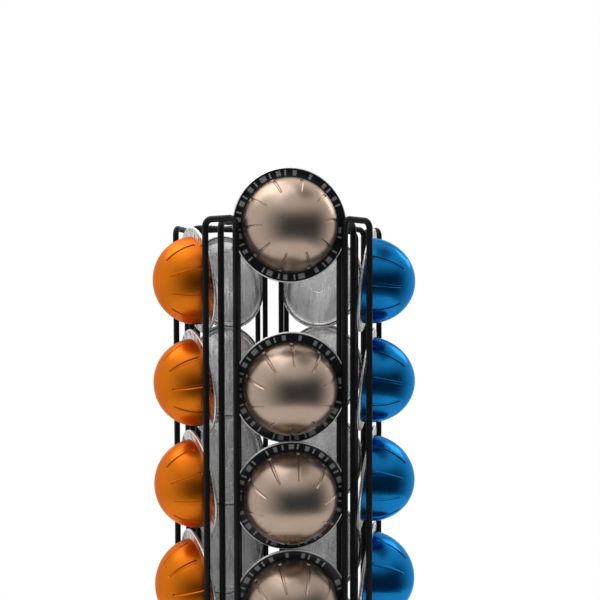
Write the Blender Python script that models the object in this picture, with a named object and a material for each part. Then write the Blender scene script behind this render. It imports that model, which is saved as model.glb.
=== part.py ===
"""A revolving wire tower that holds domed coffee capsules: five columns of eight, on a ball-bearing base.

Run it with blender --background --python part.py. Lengths are in metres and +Z is up.
The origin is on the tower's axis, at the surface that it stands on. The front column faces -Y.
"""

import math

import bmesh
import bpy

# Layout of the tower
COLUMNS = 5
ROWS = 8

# Faces that touch on the real tower stand this far apart
TOUCH_GAP = 0.0003

# Shading and the merging of a turned shape's seam
SHARP_ANGLE = math.radians(30)
MERGE_DISTANCE = 0.000002

# Capsule: an aluminium cup with a rolled rim, closed by a flat foil on its back
RIM_DIAMETER = 0.0607
RIM_THICKNESS = 0.0018
RIM_ROLL = 0.0006
FLANGE_WIDTH = 0.00535
DOME_HEIGHT = 0.024
DEEP_DOME_HEIGHT = 0.027
CAPSULE_SIDES = 24
DOME_RINGS = 4

# In their seats the capsules lean forwards, and each rim's foot is behind the top of the rim below
CAPSULE_LEAN = math.radians(7.5)
ROW_OVERLAP = 0.0031

# The top capsule of the front column is drawn up out of its seat, and stands nearly upright there
FRONT_LIFT = 0.0285
DRAWN_LEAN = math.radians(1)

# Wires: an outer hairpin at each corner, and an inner wire from each corner to the next but one
WIRE_DIAMETER = 0.0035
HAIRPIN_SPACING = 0.0194
HAIRPIN_CORNER = 0.004
STAR_CORNER = 0.005
TOP_BAR_RISE = 0.0014
DOME_PLAY = 0.00185
INNER_WIRE_INSET = 0.00295
WEAVE_GAP = 0.0004
BEND_STEPS = 4
WIRE_ROUNDING_STEPS = 2
LEAN_STEPS = 40

# Base: a pressed steel dish on a rubber ring
FOOT_HEIGHT = 0.0025
FOOT_INSET = 0.001
BASE_MARGIN = 0.0051
BASE_HEIGHT = 0.0115
BASE_SHEET = 0.0015
BASE_EDGE_RADIUS = 0.003
BASE_LIP = 0.007

# Revolving plate that carries the wires
PLATE_SETBACK = 0.003
PLATE_SHEET = 0.0015
PLATE_SKIRT = 0.006
PLATE_EDGE_RADIUS = 0.0025
DISC_SIDES = 48
EDGE_STEPS = 2

# Ball bearing between the base and the plate
BALL_CIRCLE_DIAMETER = 0.104
BALL_DIAMETER = 0.005
BALL_COUNT = 10
RACE_WIDTH = 0.013
RACE_THICKNESS = 0.002
GROOVE_WIDTH = 0.006
GROOVE_DEPTH = 0.0012
CAGE_WIDTH = 0.0064
CAGE_THICKNESS = 0.0012
RACE_SIDES = 32
BALL_SIDES = 8
BALL_RINGS = 6

# Spindle: a hexagon bolt up through the middle, with a bush, a washer and a domed nut
SPINDLE_DIAMETER = 0.008
HEX_CORNERS = 0.015
HEAD_HEIGHT = 0.0053
BUSH_WALL = 0.0015
BUSH_BELOW_PLATE = 0.001
BUSH_FLANGE_DIAMETER = 0.017
BUSH_FLANGE_THICKNESS = 0.0015
WASHER_DIAMETER = 0.018
WASHER_THICKNESS = 0.0012
NUT_HEIGHT = 0.0065
NUT_DOME_DIAMETER = 0.012
NUT_DOME_HEIGHT = 0.005
NUT_THREAD_DEPTH = 0.0085
SPINDLE_SIDES = 16
HEX_SIDES = 6

# Column and corner names, going round from the front towards +X
COLUMN_NAMES = ("front", "right", "back_right", "back_left", "left")
CORNER_NAMES = ("front_right", "rear_right", "back", "rear_left", "front_left")
COLUMN_FINISHES = ("bronze", "blue", "orange", "blue", "orange")
DEEP_FINISH = "blue"

# Colour, metallic and roughness of each finish
FINISHES = {
    "black_wire": ((0.012, 0.012, 0.014, 1.0), 0.0, 0.42),
    "black_sheet": ((0.014, 0.014, 0.016, 1.0), 0.0, 0.5),
    "bronze": ((0.34, 0.24, 0.19, 1.0), 1.0, 0.34),
    "orange": ((0.83, 0.24, 0.01, 1.0), 1.0, 0.3),
    "blue": ((0.0, 0.17, 0.42, 1.0), 1.0, 0.27),
    "bearing_steel": ((0.45, 0.45, 0.46, 1.0), 1.0, 0.3),
    "zinc_steel": ((0.55, 0.55, 0.54, 1.0), 1.0, 0.35),
    "nylon": ((0.75, 0.74, 0.7, 1.0), 0.0, 0.5),
    "rubber": ((0.02, 0.02, 0.02, 1.0), 0.0, 0.85),
}

# Sizes that follow from those above
COLUMN_TURN = 2 * math.pi / COLUMNS
CORNER_TURN = COLUMN_TURN / 2
RIM_RADIUS = RIM_DIAMETER / 2
DOME_RADIUS = RIM_RADIUS - FLANGE_WIDTH
WIRE_RADIUS = WIRE_DIAMETER / 2
ROW_PITCH = RIM_DIAMETER - ROW_OVERLAP


def lean_reach(wire_side):
    """How far a leaning rim reaches towards an upright wire, from its own middle to the wire's nearest line."""
    reach = 0
    for step in range(LEAN_STEPS + 1):
        off_wire = WIRE_RADIUS * (2 * step / LEAN_STEPS - 1)
        across = wire_side + off_wire
        if across < RIM_RADIUS:
            above_middle = math.sqrt(RIM_RADIUS**2 - across**2)
            wire_curve = WIRE_RADIUS - math.sqrt(max(0, WIRE_RADIUS**2 - off_wire**2))
            reach = max(reach, above_middle * math.sin(CAPSULE_LEAN) - wire_curve)
    return reach


# Wires, seen on a column's face: this far from the column's middle and from the tower's axis.
# The outer ones stop the rims at the front, and the inner ones at the back
RAIL_SIDE = DOME_RADIUS + DOME_PLAY + WIRE_RADIUS
RAIL_DISTANCE = (HAIRPIN_SPACING / 2 + RAIL_SIDE * math.cos(CORNER_TURN)) / math.sin(CORNER_TURN)
RIM_FRONT = RAIL_DISTANCE - WIRE_RADIUS - TOUCH_GAP - lean_reach(RAIL_SIDE)
RIM_BACK = RIM_FRONT - RIM_THICKNESS * math.cos(CAPSULE_LEAN)
INNER_SIDE = RIM_RADIUS - INNER_WIRE_INSET
INNER_DISTANCE = RIM_BACK - TOUCH_GAP - lean_reach(INNER_SIDE) - WIRE_RADIUS

# Heights, from the surface upwards
FOOT_TOP = FOOT_HEIGHT
BASE_BOTTOM = FOOT_TOP + TOUCH_GAP
BASE_TOP = BASE_BOTTOM + BASE_HEIGHT
LOWER_RACE_BOTTOM = BASE_TOP + TOUCH_GAP
GROOVE_SLOPE = math.atan2(GROOVE_DEPTH, GROOVE_WIDTH / 2)
BALL_RISE = RACE_THICKNESS - GROOVE_DEPTH + (BALL_DIAMETER / 2 + TOUCH_GAP) / math.cos(GROOVE_SLOPE)
BALL_HEIGHT = LOWER_RACE_BOTTOM + BALL_RISE
UPPER_RACE_TOP = BALL_HEIGHT + BALL_RISE
PLATE_BOTTOM = UPPER_RACE_TOP + TOUCH_GAP
PLATE_TOP = PLATE_BOTTOM + PLATE_SHEET
WIRE_FOOT = PLATE_TOP + TOUCH_GAP
LOWEST_CENTRE = PLATE_TOP + TOUCH_GAP + RIM_RADIUS * math.cos(CAPSULE_LEAN)
TOP_SEAT = LOWEST_CENTRE + (ROWS - 1) * ROW_PITCH
TOP_BAR = TOP_SEAT + RIM_RADIUS + TOP_BAR_RISE

# Radii of the round parts
BASE_RADIUS = RIM_FRONT + max(DOME_HEIGHT, DEEP_DOME_HEIGHT) + BASE_MARGIN
PLATE_RADIUS = BASE_RADIUS - PLATE_SETBACK
BALL_CIRCLE = BALL_CIRCLE_DIAMETER / 2
SPINDLE_RADIUS = SPINDLE_DIAMETER / 2
SPINDLE_HOLE = SPINDLE_RADIUS + TOUCH_GAP
BUSH_RADIUS = SPINDLE_HOLE + BUSH_WALL
PLATE_HOLE = BUSH_RADIUS + TOUCH_GAP

# Heights along the spindle
HEAD_TOP = BASE_TOP - BASE_SHEET - TOUCH_GAP
BUSH_FLANGE_BOTTOM = PLATE_TOP + TOUCH_GAP
WASHER_BOTTOM = BUSH_FLANGE_BOTTOM + BUSH_FLANGE_THICKNESS + TOUCH_GAP
NUT_BOTTOM = WASHER_BOTTOM + WASHER_THICKNESS + TOUCH_GAP
SPINDLE_TOP = NUT_BOTTOM + NUT_THREAD_DEPTH - TOUCH_GAP


def clear_scene():
    for item in list(bpy.data.objects):
        bpy.data.objects.remove(item, do_unlink=True)


def make_finish(name):
    colour, metallic, roughness = FINISHES[name]
    material = bpy.data.materials.new(name)
    material.use_nodes = True
    shader = material.node_tree.nodes["Principled BSDF"]
    shader.inputs["Base Color"].default_value = colour
    shader.inputs["Metallic"].default_value = metallic
    shader.inputs["Roughness"].default_value = roughness
    return material


def turned_mesh(name, profile, sides):
    """A solid or ring of revolution about Z, from a closed outline of (radius, height) points."""
    shape = bmesh.new()
    corners = [shape.verts.new((radius, 0, height)) for radius, height in profile]
    ends = zip(corners, corners[1:] + corners[:1])
    edges = [shape.edges.new(pair) for pair in ends if any(v.co.x > 0 for v in pair)]
    bmesh.ops.spin(
        shape,
        geom=corners + edges,
        cent=(0, 0, 0),
        axis=(0, 0, 1),
        angle=2 * math.pi,
        steps=sides,
    )
    bmesh.ops.remove_doubles(shape, verts=shape.verts, dist=MERGE_DISTANCE)
    bmesh.ops.recalc_face_normals(shape, faces=shape.faces)
    mesh = bpy.data.meshes.new(name)
    shape.to_mesh(mesh)
    shape.free()
    mesh.shade_smooth()
    mesh.set_sharp_from_angle(angle=SHARP_ANGLE)
    return mesh


def place(name, data, finish, parent=None):
    item = bpy.data.objects.new(name, data)
    if not data.materials:
        data.materials.append(finish)
    bpy.context.scene.collection.objects.link(item)
    item.parent = parent
    return item


def helper(name, data):
    """A shape that only cuts or adds to another, and isn't a part itself."""
    item = bpy.data.objects.new(name, data)
    bpy.context.scene.collection.objects.link(item)
    item.hide_render = True
    item.display_type = "WIRE"
    return item


def combine(item, other, operation):
    change = item.modifiers.new(other.name, "BOOLEAN")
    change.operation = operation
    change.object = other
    change.solver = "EXACT"


def axis_empty(name):
    """Stands on the tower's axis and carries the pieces that turn about it."""
    empty = bpy.data.objects.new(name, None)
    bpy.context.scene.collection.objects.link(empty)
    return empty


def rounded_edge(radius, height, bend, inner_bend=0.0):
    """Points round an outer top edge, from the top face down to the side face."""
    centre_r = radius - bend
    centre_z = height - bend
    reach = bend - inner_bend
    points = []
    for step in range(EDGE_STEPS + 1):
        angle = math.pi / 2 * (1 - step / EDGE_STEPS)
        points.append((centre_r + reach * math.cos(angle), centre_z + reach * math.sin(angle)))
    return points


def capsule_mesh(name, dome_height):
    """The rim's front face is at height 0, the dome rises from it, and the foil side faces down."""
    dome = []
    for step in range(DOME_RINGS):
        angle = math.pi / 2 * step / DOME_RINGS
        dome.append((DOME_RADIUS * math.cos(angle), dome_height * math.sin(angle)))
    profile = [(0, dome_height), *reversed(dome)]
    profile += [(RIM_RADIUS - RIM_ROLL, 0), (RIM_RADIUS, -RIM_THICKNESS), (0, -RIM_THICKNESS)]
    return turned_mesh(name, profile, CAPSULE_SIDES)


def add_capsules(finishes, carousel):
    """Every capsule stands on its rim in its column, its dome facing out. Row 1 is the top one."""
    meshes = {}
    for finish in set(COLUMN_FINISHES):
        height = DEEP_DOME_HEIGHT if finish == DEEP_FINISH else DOME_HEIGHT
        meshes[finish] = capsule_mesh("capsule_" + finish, height)
    for column, column_name in enumerate(COLUMN_NAMES):
        turn = column * COLUMN_TURN
        finish = COLUMN_FINISHES[column]
        for row in range(1, ROWS + 1):
            height = LOWEST_CENTRE + (ROWS - row) * ROW_PITCH
            lean = CAPSULE_LEAN
            if column_name == "front" and row == 1:
                height += FRONT_LIFT
                lean = DRAWN_LEAN
            name = f"capsule_{column_name}_{row}"
            capsule = place(name, meshes[finish], finishes[finish], carousel)
            capsule.location = (RIM_FRONT * math.sin(turn), -RIM_FRONT * math.cos(turn), height)
            capsule.rotation_euler = (math.pi / 2 + lean, 0, turn)


def bend_points(centre_x, centre_z, radius, side):
    """Points round a wire's top corner, from its leg to its bar, on the left (-1) or right (+1) side."""
    points = []
    for step in range(BEND_STEPS + 1):
        angle = math.pi / 2 * step / BEND_STEPS
        points.append((side * (centre_x + radius * math.cos(angle)), centre_z + radius * math.sin(angle)))
    return points


def wire(name, points, finish, parent):
    """A round wire along points in the plane y = 0, as (x, z), capped at both ends."""
    curve = bpy.data.curves.new(name, "CURVE")
    curve.dimensions = "3D"
    curve.bevel_depth = WIRE_RADIUS
    curve.bevel_resolution = WIRE_ROUNDING_STEPS
    curve.use_fill_caps = True
    line = curve.splines.new("POLY")
    line.points.add(len(points) - 1)
    for point, (x, z) in zip(line.points, points):
        point.co = (x, 0, z, 1)
    return place(name, curve, finish, parent)


def add_hairpins(finish, carousel):
    """The outer wires: a narrow hairpin at each corner, one leg in front of each neighbouring column."""
    half = HAIRPIN_SPACING / 2
    distance = RAIL_DISTANCE * math.cos(CORNER_TURN) + RAIL_SIDE * math.sin(CORNER_TURN)
    right = bend_points(half - HAIRPIN_CORNER, TOP_BAR - HAIRPIN_CORNER, HAIRPIN_CORNER, 1)
    left = bend_points(half - HAIRPIN_CORNER, TOP_BAR - HAIRPIN_CORNER, HAIRPIN_CORNER, -1)
    points = [(half, WIRE_FOOT), *right, *reversed(left), (-half, WIRE_FOOT)]
    for corner, corner_name in enumerate(CORNER_NAMES):
        turn = corner * COLUMN_TURN + CORNER_TURN
        hairpin = wire("hairpin_" + corner_name, points, finish, carousel)
        hairpin.location = (distance * math.sin(turn), -distance * math.cos(turn), 0)
        hairpin.rotation_euler = (0, 0, turn)


def add_star_wires(finish, carousel):
    """The inner wires: each bar crosses two others, over the first and under the second."""
    half = INNER_DISTANCE * math.sin(CORNER_TURN) + INNER_SIDE * math.cos(CORNER_TURN)
    distance = INNER_DISTANCE * math.cos(CORNER_TURN) - INNER_SIDE * math.sin(CORNER_TURN)
    crossing = distance * math.tan(CORNER_TURN)
    lift = (WIRE_DIAMETER + WEAVE_GAP) / 2
    flat = WIRE_DIAMETER
    right = bend_points(half - STAR_CORNER, TOP_BAR - STAR_CORNER, STAR_CORNER, 1)
    left = bend_points(half - STAR_CORNER, TOP_BAR - STAR_CORNER, STAR_CORNER, -1)
    weave = [
        (crossing + flat, TOP_BAR + lift),
        (crossing - flat, TOP_BAR + lift),
        (flat - crossing, TOP_BAR - lift),
        (-crossing - flat, TOP_BAR - lift),
    ]
    points = [(half, WIRE_FOOT), *right, *weave, *reversed(left), (-half, WIRE_FOOT)]
    for corner, corner_name in enumerate(CORNER_NAMES):
        turn = corner * COLUMN_TURN + CORNER_TURN
        star = wire("star_wire_" + corner_name, points, finish, carousel)
        star.location = (distance * math.sin(turn), -distance * math.cos(turn), 0)
        star.rotation_euler = (0, 0, turn)


def add_base(finishes):
    """The pressed dish, with its skirt turned in at the bottom over the rubber ring."""
    lip_top = BASE_BOTTOM + BASE_SHEET
    lip_inside = BASE_RADIUS - BASE_LIP
    outer = rounded_edge(BASE_RADIUS, BASE_TOP, BASE_EDGE_RADIUS)
    inner = rounded_edge(BASE_RADIUS, BASE_TOP, BASE_EDGE_RADIUS, BASE_SHEET)
    profile = [
        (SPINDLE_HOLE, BASE_TOP),
        *outer,
        (BASE_RADIUS, BASE_BOTTOM),
        (lip_inside, BASE_BOTTOM),
        (lip_inside, lip_top),
        (BASE_RADIUS - BASE_SHEET, lip_top),
        *reversed(inner),
        (SPINDLE_HOLE, BASE_TOP - BASE_SHEET),
    ]
    place("base_dish", turned_mesh("base_dish", profile, DISC_SIDES), finishes["black_sheet"])
    foot = [
        (lip_inside, FOOT_TOP),
        (BASE_RADIUS - FOOT_INSET, FOOT_TOP),
        (BASE_RADIUS - FOOT_INSET, 0),
        (lip_inside, 0),
    ]
    place("foot_ring", turned_mesh("foot_ring", foot, DISC_SIDES), finishes["rubber"])


def add_plate(finish, carousel):
    """The revolving plate, with its edge turned down."""
    skirt_bottom = PLATE_TOP - PLATE_SKIRT
    outer = rounded_edge(PLATE_RADIUS, PLATE_TOP, PLATE_EDGE_RADIUS)
    inner = rounded_edge(PLATE_RADIUS, PLATE_TOP, PLATE_EDGE_RADIUS, PLATE_SHEET)
    profile = [
        (PLATE_HOLE, PLATE_TOP),
        *outer,
        (PLATE_RADIUS, skirt_bottom),
        (PLATE_RADIUS - PLATE_SHEET, skirt_bottom),
        *reversed(inner),
        (PLATE_HOLE, PLATE_BOTTOM),
    ]
    place("turntable_plate", turned_mesh("turntable_plate", profile, DISC_SIDES), finish, carousel)


def race_profile(flat_height, towards_ball):
    """A flat ring with a V groove, from its flat face towards the balls (+1 is up, -1 is down)."""
    face = flat_height + towards_ball * RACE_THICKNESS
    floor = face - towards_ball * GROOVE_DEPTH
    return [
        (BALL_CIRCLE - RACE_WIDTH / 2, flat_height),
        (BALL_CIRCLE - RACE_WIDTH / 2, face),
        (BALL_CIRCLE - GROOVE_WIDTH / 2, face),
        (BALL_CIRCLE, floor),
        (BALL_CIRCLE + GROOVE_WIDTH / 2, face),
        (BALL_CIRCLE + RACE_WIDTH / 2, face),
        (BALL_CIRCLE + RACE_WIDTH / 2, flat_height),
    ]


def balls_mesh():
    """All the balls, set round their circle."""
    shape = bmesh.new()
    for number in range(BALL_COUNT):
        turn = 2 * math.pi * number / BALL_COUNT
        made = bmesh.ops.create_uvsphere(
            shape,
            u_segments=BALL_SIDES,
            v_segments=BALL_RINGS,
            radius=BALL_DIAMETER / 2,
        )
        middle = (BALL_CIRCLE * math.cos(turn), BALL_CIRCLE * math.sin(turn), BALL_HEIGHT)
        bmesh.ops.translate(shape, verts=made["verts"], vec=middle)
    mesh = bpy.data.meshes.new("balls")
    shape.to_mesh(mesh)
    shape.free()
    return mesh


def add_bearing(finishes, carousel, cage_axis):
    """Lower race on the base, balls held in a nylon cage, upper race under the plate."""
    lower = turned_mesh("lower_race", race_profile(LOWER_RACE_BOTTOM, 1), RACE_SIDES)
    place("lower_race", lower, finishes["bearing_steel"])
    upper = turned_mesh("upper_race", race_profile(UPPER_RACE_TOP, -1), RACE_SIDES)
    place("upper_race", upper, finishes["bearing_steel"], carousel)
    cage_top = BALL_HEIGHT + CAGE_THICKNESS / 2
    cage_bottom = BALL_HEIGHT - CAGE_THICKNESS / 2
    ring = [
        (BALL_CIRCLE - CAGE_WIDTH / 2, cage_top),
        (BALL_CIRCLE + CAGE_WIDTH / 2, cage_top),
        (BALL_CIRCLE + CAGE_WIDTH / 2, cage_bottom),
        (BALL_CIRCLE - CAGE_WIDTH / 2, cage_bottom),
    ]
    cage = turned_mesh("ball_cage", ring, RACE_SIDES)
    cage = place("ball_cage", cage, finishes["nylon"], cage_axis)
    combine(cage, helper("balls", balls_mesh()), "UNION")


def solid_profile(radius, top, bottom):
    return [(0, top), (radius, top), (radius, bottom), (0, bottom)]


def ring_profile(inner, outer, top, bottom):
    return [(inner, top), (outer, top), (outer, bottom), (inner, bottom)]


def add_spindle(finishes, carousel):
    """Bolt up through the base, bush in the plate, washer and domed nut on top."""
    steel = finishes["zinc_steel"]
    head_profile = solid_profile(HEX_CORNERS / 2, HEAD_TOP, HEAD_TOP - HEAD_HEIGHT)
    bolt = place("spindle_bolt", turned_mesh("spindle_bolt", head_profile, HEX_SIDES), steel)
    shank_profile = solid_profile(SPINDLE_RADIUS, SPINDLE_TOP, HEAD_TOP - HEAD_HEIGHT / 2)
    shank = helper("shank", turned_mesh("shank", shank_profile, SPINDLE_SIDES))
    combine(bolt, shank, "UNION")

    bush_profile = [
        (SPINDLE_HOLE, BUSH_FLANGE_BOTTOM + BUSH_FLANGE_THICKNESS),
        (BUSH_FLANGE_DIAMETER / 2, BUSH_FLANGE_BOTTOM + BUSH_FLANGE_THICKNESS),
        (BUSH_FLANGE_DIAMETER / 2, BUSH_FLANGE_BOTTOM),
        (BUSH_RADIUS, BUSH_FLANGE_BOTTOM),
        (BUSH_RADIUS, PLATE_BOTTOM - BUSH_BELOW_PLATE),
        (SPINDLE_HOLE, PLATE_BOTTOM - BUSH_BELOW_PLATE),
    ]
    bush = turned_mesh("spindle_bush", bush_profile, SPINDLE_SIDES)
    place("spindle_bush", bush, finishes["nylon"], carousel)

    washer_top = WASHER_BOTTOM + WASHER_THICKNESS
    washer_profile = ring_profile(SPINDLE_HOLE, WASHER_DIAMETER / 2, washer_top, WASHER_BOTTOM)
    place("spindle_washer", turned_mesh("spindle_washer", washer_profile, SPINDLE_SIDES), steel)

    nut_top = NUT_BOTTOM + NUT_HEIGHT
    nut_profile = solid_profile(HEX_CORNERS / 2, nut_top, NUT_BOTTOM)
    nut = place("domed_nut", turned_mesh("domed_nut", nut_profile, HEX_SIDES), steel)
    dome_profile = [(0, nut_top + NUT_DOME_HEIGHT)]
    for step in range(EDGE_STEPS + 1):
        angle = math.pi / 2 * (1 - (step + 1) / (EDGE_STEPS + 1))
        across = NUT_DOME_DIAMETER / 2 * math.cos(angle)
        dome_profile.append((across, nut_top + NUT_DOME_HEIGHT * math.sin(angle)))
    dome_profile += [(NUT_DOME_DIAMETER / 2, nut_top - NUT_HEIGHT / 2), (0, nut_top - NUT_HEIGHT / 2)]
    dome = helper("nut_dome", turned_mesh("nut_dome", dome_profile, SPINDLE_SIDES))
    combine(nut, dome, "UNION")
    thread_profile = solid_profile(SPINDLE_HOLE, NUT_BOTTOM + NUT_THREAD_DEPTH, NUT_BOTTOM - NUT_HEIGHT)
    thread = helper("nut_thread", turned_mesh("nut_thread", thread_profile, SPINDLE_SIDES))
    combine(nut, thread, "DIFFERENCE")


def main():
    clear_scene()
    finishes = {name: make_finish(name) for name in FINISHES}
    carousel = axis_empty("carousel_axis")
    cage_axis = axis_empty("cage_axis")
    add_base(finishes)
    add_bearing(finishes, carousel, cage_axis)
    add_spindle(finishes, carousel)
    add_plate(finishes["black_sheet"], carousel)
    add_hairpins(finishes["black_wire"], carousel)
    add_star_wires(finishes["black_wire"], carousel)
    add_capsules(finishes, carousel)


main()
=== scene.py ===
"""The looks of a revolving wire tower that holds forty domed coffee capsules in five columns.

Every piece is modelled in metres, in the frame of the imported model: +Z is up, the tower's axis is the Z
axis and the front column faces -Y.
"""

import math

import bmesh
import bpy
from mathutils import Euler, Matrix, Vector


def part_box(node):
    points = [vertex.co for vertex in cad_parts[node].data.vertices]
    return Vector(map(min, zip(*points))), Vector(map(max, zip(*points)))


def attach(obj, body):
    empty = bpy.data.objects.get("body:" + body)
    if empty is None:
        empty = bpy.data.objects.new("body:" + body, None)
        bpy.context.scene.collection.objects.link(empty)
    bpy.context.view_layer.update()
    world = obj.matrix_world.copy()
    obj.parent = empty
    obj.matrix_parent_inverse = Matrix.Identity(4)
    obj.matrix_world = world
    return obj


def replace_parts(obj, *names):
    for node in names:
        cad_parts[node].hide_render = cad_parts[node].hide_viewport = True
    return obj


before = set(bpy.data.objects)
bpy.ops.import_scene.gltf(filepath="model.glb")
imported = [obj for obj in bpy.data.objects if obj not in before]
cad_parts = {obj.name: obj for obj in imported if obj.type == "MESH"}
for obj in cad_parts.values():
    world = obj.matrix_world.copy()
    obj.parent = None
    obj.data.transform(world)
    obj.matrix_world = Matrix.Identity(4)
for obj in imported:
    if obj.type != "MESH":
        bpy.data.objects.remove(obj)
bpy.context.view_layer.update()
MM = 0.001

# Names of the columns and corners, going round from the front towards +X
COLUMNS = ("front", "right", "back_right", "back_left", "left")
CORNERS = ("front_right", "rear_right", "back", "rear_left", "front_left")
ROWS = 8
COLUMN_TURN = math.radians(360 / len(COLUMNS))

# Camera, fitted to the photograph of 600 x 600 pixels
PHOTO_SIDE = 600
FOCAL_PIXELS = 756.1
CENTRE_ROW_PIXEL = 320
SENSOR_MM = 36
CAMERA_PLACE = Vector((-42.64, -449.05, 449.45)) * MM
CAMERA_HEADING = math.radians(6.877)
CAMERA_PITCH_DOWN = math.radians(1.902)
CAMERA_ROLL = math.radians(-0.097)

# The capsules lean forwards in their seats, and the drawn-up one stands nearly upright
LEAN = math.radians(7.5)
DRAWN_LEAN = math.radians(1)
RIM_THICKNESS = 1.8 * MM
FLANGE_WIDTH = 5.35 * MM
DOME_HEIGHT = 24 * MM
DEEP_DOME_HEIGHT = 27 * MM

# What the frame gives: the capsules, seen on the front column
capsule_low, capsule_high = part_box("capsule_front_2")
RIM_RADIUS = (capsule_high.x - capsule_low.x) / 2
RIM_FRONT = RIM_RADIUS * math.sin(LEAN) + RIM_THICKNESS * math.cos(LEAN) - capsule_high.y
DOME_RADIUS = RIM_RADIUS - FLANGE_WIDTH

# What the frame gives: the wires, seen on the corner at the back
hairpin_low, hairpin_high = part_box("hairpin_back")
star_low, star_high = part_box("star_wire_back")
WIRE_RADIUS = (hairpin_high.y - hairpin_low.y) / 2
HAIRPIN_HALF = hairpin_high.x - WIRE_RADIUS
HAIRPIN_DISTANCE = (hairpin_low.y + hairpin_high.y) / 2
STAR_HALF = star_high.x - WIRE_RADIUS
STAR_DISTANCE = (star_low.y + star_high.y) / 2
TOP_BAR = hairpin_high.z - WIRE_RADIUS
WEAVE_LIFT = star_high.z - WIRE_RADIUS - TOP_BAR
HAIRPIN_CORNER = 4 * MM
STAR_CORNER = 5 * MM

# What the frame gives: the round parts
base_low, base_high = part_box("base_dish")
plate_low, plate_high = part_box("turntable_plate")
BASE_RADIUS = base_high.x
PLATE_RADIUS = plate_high.x
PLATE_TOP = plate_high.z
WIRE_FOOT = hairpin_low.z

# Sides and steps of the round shapes
CUP_SIDES = 70
CUP_RINGS = 16
RIM_SIDES = 96
FOIL_SIDES = 64
WIRE_SIDES = 16
DISC_SIDES = 144
SMOOTH_ANGLE = math.radians(32)
MERGE_DISTANCE = 0.002 * MM


class Field:
    """A value that varies over a surface: a node's output, with Python's arithmetic."""

    def __init__(self, finish, socket):
        self.finish = finish
        self.socket = socket

    def math(self, operation, *others):
        sockets = dict(enumerate((self, *others)))
        return self.finish.node("Math", {"operation": operation}, sockets)

    def __add__(self, other):
        return self.math("ADD", other)

    def __radd__(self, other):
        return self.math("ADD", other)

    def __sub__(self, other):
        return self.math("SUBTRACT", other)

    def __rsub__(self, other):
        return self.finish.node("Math", {"operation": "SUBTRACT"}, {0: other, 1: self})

    def __mul__(self, other):
        return self.math("MULTIPLY", other)

    def __rmul__(self, other):
        return self.math("MULTIPLY", other)

    def __truediv__(self, other):
        return self.math("DIVIDE", other)

    def ramp(self, low, high):
        """0 up to low, 1 from high, and smooth between them."""
        settings = {"interpolation_type": "SMOOTHSTEP"}
        return self.finish.node("MapRange", settings, {"Value": self, "From Min": low, "From Max": high})

    def band(self, low, high, soft):
        """1 from low to high, and 0 outside."""
        return self.ramp(low - soft, low + soft) * (1 - self.ramp(high - soft, high + soft))


class Finish:
    """One material, made of nodes around a Principled shader."""

    def __init__(self, name, **constants):
        self.material = bpy.data.materials.new(name)
        self.material.use_nodes = True
        self.nodes = self.material.node_tree.nodes
        self.links = self.material.node_tree.links
        self.shader = self.nodes["Principled BSDF"]
        for socket, value in constants.items():
            self.shader.inputs[socket.replace("_", " ")].default_value = value

    def node(self, kind, settings, sockets, output=0):
        """Adds a node, sets it up, fills its sockets with values or links, and gives one of its outputs."""
        made = self.nodes.new("ShaderNode" + kind)
        for name, value in settings.items():
            if name == "stops":
                self.set_stops(made.color_ramp, value)
            else:
                setattr(made, name, value)
        for name, value in sockets.items():
            if isinstance(value, Field):
                self.links.new(value.socket, made.inputs[name])
            else:
                made.inputs[name].default_value = value
        return Field(self, made.outputs[output])

    @staticmethod
    def set_stops(ramp, stops):
        while len(ramp.elements) < len(stops):
            ramp.elements.new(1)
        for element, (place, colour) in zip(ramp.elements, stops):
            element.position = place
            element.color = colour

    def place(self):
        """The point in the tower's frame."""
        return self.node("TexCoord", {}, {}, "Object")

    def parts(self, vector):
        """The X, Y and Z of a vector."""
        outputs = self.node("SeparateXYZ", {}, {"Vector": vector}).socket.node.outputs
        return [Field(self, outputs[axis]) for axis in "XYZ"]

    def noise(self, place, size, detail=2):
        """Soft noise with blots of about this size, in metres."""
        return self.node("TexNoise", {}, {"Vector": place, "Scale": 1 / size, "Detail": detail}, "Fac")

    def drawn_noise(self, place, width, squeeze):
        """Soft noise of this width, drawn out along Z by sampling it more slowly there."""
        sockets = {0: place, 1: (1, 1, squeeze)}
        return self.noise(self.node("VectorMath", {"operation": "MULTIPLY"}, sockets), width)

    def mix(self, share, first, second):
        """A colour between two. The node's colour sockets are 6 and 7, and its colour output is 2."""
        return self.node("Mix", {"data_type": "RGBA"}, {0: share, 6: first, 7: second}, 2)

    def bump(self, height, distance):
        """A normal that rises and falls with a height of 0 to 1, over this distance."""
        return self.node("Bump", {}, {"Height": height, "Distance": distance, "Strength": 1.0})

    def feed(self, **fields):
        """Links fields to the shader's sockets."""
        for socket, field in fields.items():
            self.links.new(field.socket, self.shader.inputs[socket.replace("_", " ")])
        return self.material


# The radius, in millimetres, within which radial streaks don't draw together any more
STREAK_CORE = 1.0


def face_point(finish):
    """A capsule's own face coordinates: across, up and radius in millimetres, from its middle."""
    uv = finish.node("UVMap", {"uv_map": "face"}, {}, "UV")
    across, up = ((part - 0.5) * (2 * RIM_RADIUS / MM) for part in finish.parts(uv)[:2])
    return across, up, (across * across + up * up).math("SQRT")


def round_noise(finish, across, up, radius, around, along):
    """Noise in radial streaks. around is their number of changes a turn, and along their length in mm."""
    safe = radius.math("MAXIMUM", STREAK_CORE)
    sockets = {"X": across / safe * around, "Y": up / safe * around, "Z": radius / along}
    place = finish.node("CombineXYZ", {}, sockets)
    return finish.noise(place, 1.0)


# A dome's streaks, the grain of its metal, and the share of its radius from which painted shade darkens it
# towards its foot
DOME_STREAKS = {"around": 12, "along": 14}
DOME_GRAIN = 0.3 * MM
FOOT_SHADE_START = 0.84
LACQUER_ROUGHNESS = 0.2


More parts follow.
